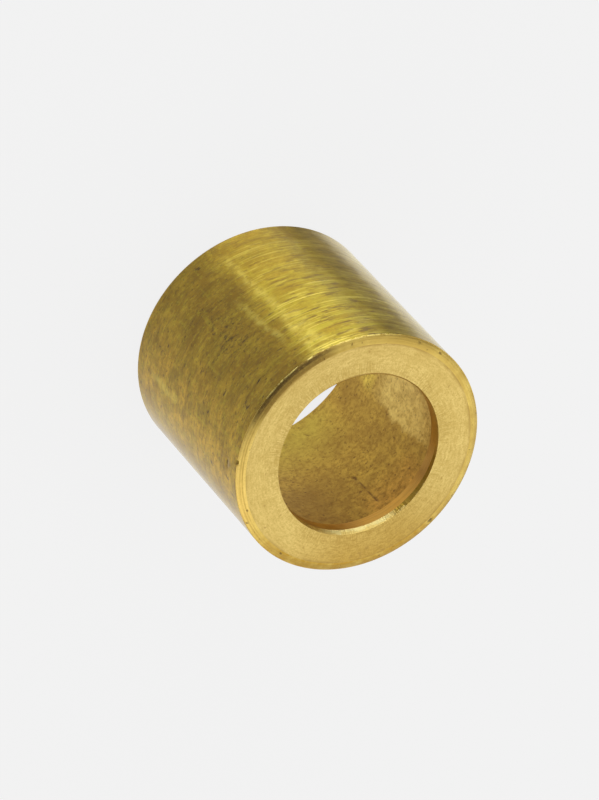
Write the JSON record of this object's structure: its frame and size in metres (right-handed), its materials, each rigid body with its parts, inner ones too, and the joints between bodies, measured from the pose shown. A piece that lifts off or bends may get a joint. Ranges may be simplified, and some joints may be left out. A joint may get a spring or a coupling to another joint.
{
  "type": "hose ferrule",
  "caption": "Short round brass sleeve with a thin wall and an inward lip at one end, crimped round a hose end to hold it on the stem of a fitting.",
  "frame": {"origin": "centre of the bore at the hose end, which stands on the ground plane", "axes": "+Z along the bore axis from the hose end to the lipped face; X and Y are arbitrary about the turned axis"},
  "size_m": [0.02, 0.02, 0.0183],
  "materials": {
    "turned_brass": "as turned, satin on the face, fine scratches round the outside, mottled in the bore"
  },
  "bodies": {
    "root": {"ferrule": "turned_brass"}
  },
  "joints": []
}
